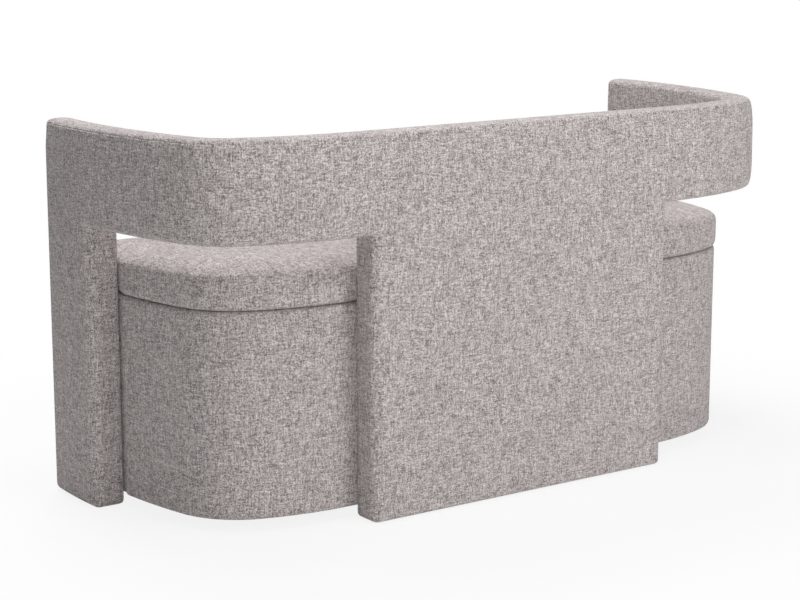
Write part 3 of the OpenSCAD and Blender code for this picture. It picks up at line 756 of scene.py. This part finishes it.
class Nodes:
    # short way to lay out a material's nodes
    def __init__(self, name):
        self.material = bpy.data.materials.new(name)
        self.material.use_nodes = True
        self.tree = self.material.node_tree
        self.shader = next(n for n in self.tree.nodes if n.type == "BSDF_PRINCIPLED")

    def add(self, kind, **values):
        node = self.tree.nodes.new(kind)
        for key, value in values.items():
            setattr(node, key, value)
        return node

    def link(self, source, target):
        self.tree.links.new(source, target)

    def math(self, operation, a, b=None):
        node = self.add("ShaderNodeMath", operation=operation)
        for socket, value in zip(node.inputs, (a, b)):
            if isinstance(value, (int, float)):
                socket.default_value = value
            elif value is not None:
                self.link(value, socket)
        return node.outputs[0]

    def blend(self, values, shares):
        # the values added up, each by its share
        total = 0
        for kind, share in shares.items():
            total = self.math("ADD", self.math("MULTIPLY", values[kind], share), total)
        return total

    def noise(self, vector, scale, detail, roughness, stretch=(1, 1, 1)):
        mapping = self.add("ShaderNodeMapping")
        mapping.inputs["Scale"].default_value = stretch
        self.link(vector, mapping.inputs["Vector"])
        texture = self.add("ShaderNodeTexNoise")
        texture.inputs["Scale"].default_value = scale
        texture.inputs["Detail"].default_value = detail
        texture.inputs["Roughness"].default_value = roughness
        self.link(mapping.outputs[0], texture.inputs["Vector"])
        return texture.outputs["Fac"]

    def colour(self, value, stops, tones):
        # the surface's colour runs through the tones, which lie at the stops
        node = self.add("ShaderNodeValToRGB")
        elements = node.color_ramp.elements
        for place, tone in zip(stops[1:-1], tones[1:-1]):
            elements.new(place).color = srgb(*tone)
        elements[0].position, elements[0].color = stops[0], srgb(*tones[0])
        last = elements[len(elements) - 1]
        last.position, last.color = stops[-1], srgb(*tones[-1])
        self.link(value, node.inputs[0])
        self.link(node.outputs["Color"], self.shader.inputs["Base Color"])

    def bump(self, height, strength, distance):
        node = self.add("ShaderNodeBump")
        node.inputs["Strength"].default_value = strength
        node.inputs["Distance"].default_value = distance
        self.link(height, node.inputs["Height"])
        self.link(node.outputs[0], self.shader.inputs["Normal"])

    def coordinates(self):
        return self.add("ShaderNodeTexCoord").outputs["Object"]

    def finish(self, roughness, **sockets):
        self.shader.inputs["Roughness"].default_value = roughness
        for key, value in sockets.items():
            self.shader.inputs[key.replace("_", " ")].default_value = value
        return self.material


fabric = {
    "dark": (112, 104, 103),
    "middle": (177, 168, 166),
    "light": (226, 219, 217),
    "contrast": 0.165,      # half the range of mixed noise from dark to light
    "yarn": 0.0017,         # from yarn to yarn
    "weftSlub": 0.018,      # usual length of a darker or lighter stretch of yarn
    "warpSlub": 0.022,
    "slubNoise": (1, 1, 0.5),       # scale, detail and roughness
    "rowShift": 0.618,      # of a slub, from one yarn to the next
    "rowApart": 7.31,       # between the lines of noise that neighbouring yarns read
    "cloudNoise": (14, 2, 0.5),
    "shares": {"weft": 0.36, "warp": 0.36, "crossing": 0.27, "cloud": 0.01},
    "threadRelief": 0.4,    # height of a thread beside that of the tones
    "relief": (0.5, 0.0008),        # bump strength and height
    "roughness": 0.92,
    "sheen": (0.18, 0.6),   # weight and roughness
    "specular": 0.2,
}


def yarns(n, along, row, slub):
    # rows of yarn, each with its own slubs: each row reads another line of noise, shifted along
    line = n.add("ShaderNodeCombineXYZ")
    shift = n.math("MULTIPLY", row, fabric["rowShift"])
    n.link(n.math("ADD", n.math("DIVIDE", along, slub), shift), line.inputs[0])
    n.link(n.math("MULTIPLY", row, fabric["rowApart"]), line.inputs[1])
    return n.noise(line.outputs[0], *fabric["slubNoise"])


def wovenFabric(name):
    # a plain weave of slubbed yarns, in which each crossing has a tone of its own as well
    n = Nodes(name)
    place = n.add("ShaderNodeUVMap", uv_map="weave").outputs[0]
    split = n.add("ShaderNodeSeparateXYZ")
    n.link(place, split.inputs[0])
    u, v = split.outputs[0], split.outputs[1]
    column, row = (n.math("FLOOR", n.math("DIVIDE", side, fabric["yarn"])) for side in (u, v))
    crossing = n.add("ShaderNodeCombineXYZ")
    n.link(column, crossing.inputs[0])
    n.link(row, crossing.inputs[1])
    speck = n.add("ShaderNodeTexWhiteNoise", noise_dimensions="2D")
    n.link(crossing.outputs[0], speck.inputs["Vector"])
    tones = {
        "weft": yarns(n, u, row, fabric["weftSlub"]),
        "warp": yarns(n, v, column, fabric["warpSlub"]),
        "crossing": speck.outputs["Value"],
        "cloud": n.noise(place, *fabric["cloudNoise"]),
    }
    mixed = n.blend(tones, fabric["shares"])
    stops = (0.5 - fabric["contrast"], 0.5, 0.5 + fabric["contrast"])
    n.colour(mixed, stops, (fabric["dark"], fabric["middle"], fabric["light"]))
    across, up = (n.math("SINE", n.math("MULTIPLY", side, pi / fabric["yarn"])) for side in (u, v))
    thread = n.math("ABSOLUTE", n.math("MULTIPLY", across, up))
    n.bump(n.math("ADD", n.math("MULTIPLY", thread, fabric["threadRelief"]), mixed), *fabric["relief"])
    weight, spread = fabric["sheen"]
    return n.finish(fabric["roughness"], Sheen_Weight=weight, Sheen_Roughness=spread,
                    Specular_IOR_Level=fabric["specular"])


def speckle(n, finish, dark, light):
    # one fine noise gives a finish its tones and its relief
    specks = n.noise(n.coordinates(), *finish["noise"])
    n.colour(specks, finish["stops"], (dark, light))
    n.bump(specks, *finish["relief"])
    return specks


softFoam = {
    "dark": (214, 196, 138),
    "light": (240, 228, 180),
    "noise": (700, 2, 0.7),     # scale, detail and roughness
    "stops": (0.3, 0.7),        # where dark and light lie in the noise
    "relief": (0.4, 0.001),     # bump strength and height
    "roughness": 0.95,
    "specular": 0.2,
}


def makeFoamMaterial():
    n = Nodes("foam")
    speckle(n, softFoam, softFoam["dark"], softFoam["light"])
    return n.finish(softFoam["roughness"], Specular_IOR_Level=softFoam["specular"])


# materials of the frame's own nodes

timber = {
    "plyAlong": ((176, 138, 96), (214, 180, 134)),      # dark and light
    "plyUpright": ((180, 142, 100), (218, 184, 140)),
    "studTimber": ((190, 150, 104), (226, 194, 148)),
    "railTimber": ((188, 148, 102), (224, 192, 146)),
    "grain": (9, 6, 0.62),      # noise scale, detail and roughness
    "fibre": (60, 3, 0.6),
    "shares": {"grain": 0.75, "fibre": 0.25},
    "along": 0.7,               # scale along the wood, and across it
    "across": 9,
    "stops": (0.35, 0.65),
    "relief": (0.2, 0.0008),
    "roughness": 0.7,
    "finer": 1.4,               # scale of solid wood beside plywood
}

metal = {
    "zinc": {"colour": (190, 192, 194), "roughness": 0.35},
    "stem": {"colour": (150, 152, 155), "roughness": 0.3},
    "darker": 0.86,             # share of the colour in the darker patches
    "patchy": 0.14,             # range of the roughness
    "noise": (260, 3, 0.6),
    "stops": (0.35, 0.7),
    "relief": (0.08, 0.0003),
}

nylon = {
    "colour": (46, 46, 48),
    "darker": 0.85,
    "noise": (900, 2, 0.5),
    "stops": (0.3, 0.7),
    "relief": (0.15, 0.0003),
    "roughness": 0.5,
}

dustCloth = {
    "dark": (24, 24, 25),
    "light": (58, 58, 60),
    "noise": (500, 4, 0.8),
    "stops": (0.3, 0.7),
    "relief": (0.4, 0.0006),
    "roughness": 0.95,
}


def makeTimber(name, axis, finer=1):
    # the grain runs along the named axis
    n = Nodes(name)
    stretch = [timber["along"] if a == axis else timber["across"] for a in "XYZ"]
    layers = {}
    for kind in ("grain", "fibre"):
        scale, detail, roughness = timber[kind]
        layers[kind] = n.noise(n.coordinates(), scale * finer, detail, roughness, stretch)
    mixed = n.blend(layers, timber["shares"])
    n.colour(mixed, timber["stops"], timber[name])
    n.bump(mixed, *timber["relief"])
    return n.finish(timber["roughness"])


def makeMetal(name, kind):
    n = Nodes(name)
    colour, roughness = metal[kind]["colour"], metal[kind]["roughness"]
    patches = speckle(n, metal, [c * metal["darker"] for c in colour], colour)
    rough = n.math("ADD", n.math("MULTIPLY", patches, metal["patchy"]), roughness - metal["patchy"] / 2)
    n.link(rough, n.shader.inputs["Roughness"])
    return n.finish(roughness, Metallic=1)


def makeNylon():
    n = Nodes("nylon")
    speckle(n, nylon, [c * nylon["darker"] for c in nylon["colour"]], nylon["colour"])
    return n.finish(nylon["roughness"])


def makeDustCloth():
    n = Nodes("dustCloth")
    speckle(n, dustCloth, dustCloth["dark"], dustCloth["light"])
    return n.finish(dustCloth["roughness"])


def finishFrame():
    plyAlong, plyUpright = makeTimber("plyAlong", "X"), makeTimber("plyUpright", "Z")
    studTimber = makeTimber("studTimber", "Z", timber["finer"])
    railTimber = makeTimber("railTimber", "X", timber["finer"])
    zincSteel, stemSteel = makeMetal("zincSteel", "zinc"), makeMetal("stemSteel", "stem")
    nylonMaterial, clothMaterial = makeNylon(), makeDustCloth()
    finished = [
        (plyUpright, ["outer_skin", "inner_skin", "base_skin"]),
        (plyAlong, ["base_front_board", "top_rib", "bottom_ribs", "base_bottom_plate", "base_top_plate",
                    "seat_deck"]),
        (studTimber, ["band_studs", "arm_studs", "panel_studs", "base_struts", "corner_blocks"]),
        (railTimber, ["arm_blocks", "panel_rails"]),
        (zincSteel, ["seat_screws", "joining_bolts", "joining_washers", "joining_nuts", "foot_nuts"]),
        (nylonMaterial, ["nail_glides"]),
        (clothMaterial, ["dust_cloth"]),
    ]
    named = {name: material for material, names in finished for name in names}
    for name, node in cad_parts.items():
        material = named.get(name, nylonMaterial if name.endswith("foot_pad") else stemSteel)
        for slot in node.material_slots:
            slot.material = material


# floor and light

studio = {
    "ambient": 0.07,
    "floorHalf": 9,             # half the floor's side
    "floorTone": 0.8,
    "floorRoughness": 0.9,
    "floorSpecular": 0.1,
    "floorGlow": (0.86, 1),     # share of plain white in the floor as seen, by the bench and away from it
    "glowRun": (0.675, 1.5),    # from the middle, where the one passes into the other
    "aim": (0, 0, 0.4),
    "lamps": {
        "overhead": {"place": (0.53, 0.76, 3.88), "size": 1.6, "power": 60},
        "corner": {"place": (2.94, 4.19, 1.30), "size": 2.3, "power": 58},
        "side": {"place": (-1.30, 3.22, 1.33), "size": 1.6, "power": 49},
        "front": {"place": (0, -1.80, 3.52), "size": 1.6, "power": 90},
    },
}


def makeLamps():
    for name, values in studio["lamps"].items():
        data = bpy.data.lights.new(name, "AREA")
        data.size = values["size"]
        data.energy = values["power"]
        lamp = bpy.data.objects.new(name, data)
        bpy.context.collection.objects.link(lamp)
        lamp.location = values["place"]
        aim = Vector(studio["aim"]) - Vector(values["place"])
        lamp.rotation_euler = aim.to_track_quat("-Z", "Y").to_euler()


def seenByCamera(tree):
    # 1 for rays from the camera, also mirrored or through glass, and 0 for those that light the bench
    rays = tree.nodes.new("ShaderNodeLightPath")
    shown = rays.outputs["Is Camera Ray"]
    for name in ("Is Glossy Ray", "Is Transmission Ray"):
        either = tree.nodes.new("ShaderNodeMath")
        either.operation = "MAXIMUM"
        tree.links.new(shown, either.inputs[0])
        tree.links.new(rays.outputs[name], either.inputs[1])
        shown = either.outputs[0]
    return shown


def makeWorld():
    # plain white to the camera, and a dim fill light on the bench
    world = bpy.data.worlds.new("studio")
    bpy.context.scene.world = world
    world.use_nodes = True
    tree = world.node_tree
    light = tree.nodes["Background"]
    light.inputs["Color"].default_value = (1, 1, 1, 1)
    light.inputs["Strength"].default_value = studio["ambient"]
    white = tree.nodes.new("ShaderNodeBackground")
    white.inputs["Color"].default_value = (1, 1, 1, 1)
    mix = tree.nodes.new("ShaderNodeMixShader")
    tree.links.new(seenByCamera(tree), mix.inputs[0])
    tree.links.new(light.outputs[0], mix.inputs[1])
    tree.links.new(white.outputs[0], mix.inputs[2])
    tree.links.new(mix.outputs[0], tree.nodes["World Output"].inputs["Surface"])


def makeFloor():
    bm = bmesh.new()
    bmesh.ops.create_grid(bm, x_segments=1, y_segments=1, size=studio["floorHalf"])
    floor = newPiece("floor", bm)
    n = Nodes("floor")
    tone = studio["floorTone"]
    n.shader.inputs["Base Color"].default_value = (tone, tone, tone, 1)
    n.finish(studio["floorRoughness"], Specular_IOR_Level=studio["floorSpecular"])
    glow = n.add("ShaderNodeEmission")
    mix = n.add("ShaderNodeMixShader")
    away = n.add("ShaderNodeVectorMath", operation="LENGTH")
    n.link(n.coordinates(), away.inputs[0])
    spread = n.add("ShaderNodeMapRange", interpolation_type="SMOOTHSTEP")
    for socket, value in zip(spread.inputs[1:5], studio["glowRun"] + studio["floorGlow"]):
        socket.default_value = value
    n.link(away.outputs["Value"], spread.inputs["Value"])
    n.link(n.math("MULTIPLY", seenByCamera(n.tree), spread.outputs["Result"]), mix.inputs[0])
    n.link(n.shader.outputs[0], mix.inputs[1])
    n.link(glow.outputs[0], mix.inputs[2])
    n.link(mix.outputs[0], n.tree.nodes["Material Output"].inputs["Surface"])
    floor.data.materials.append(n.material)


makeCamera()
print("camera placed")
coverFabric = wovenFabric("coverFabric")
foamMaterial = makeFoamMaterial()
makeWallCovers(coverFabric)
print("wall covers made")
makeWallFoam(foamMaterial)
print("wall foam made")
makeBase(coverFabric, foamMaterial)
print("base made")
makeSeat(coverFabric)
finishFrame()
print("frame finished")
makeWorld()
makeFloor()
makeLamps()
bpy.context.scene.view_settings.view_transform = "Standard"
print("studio lit")
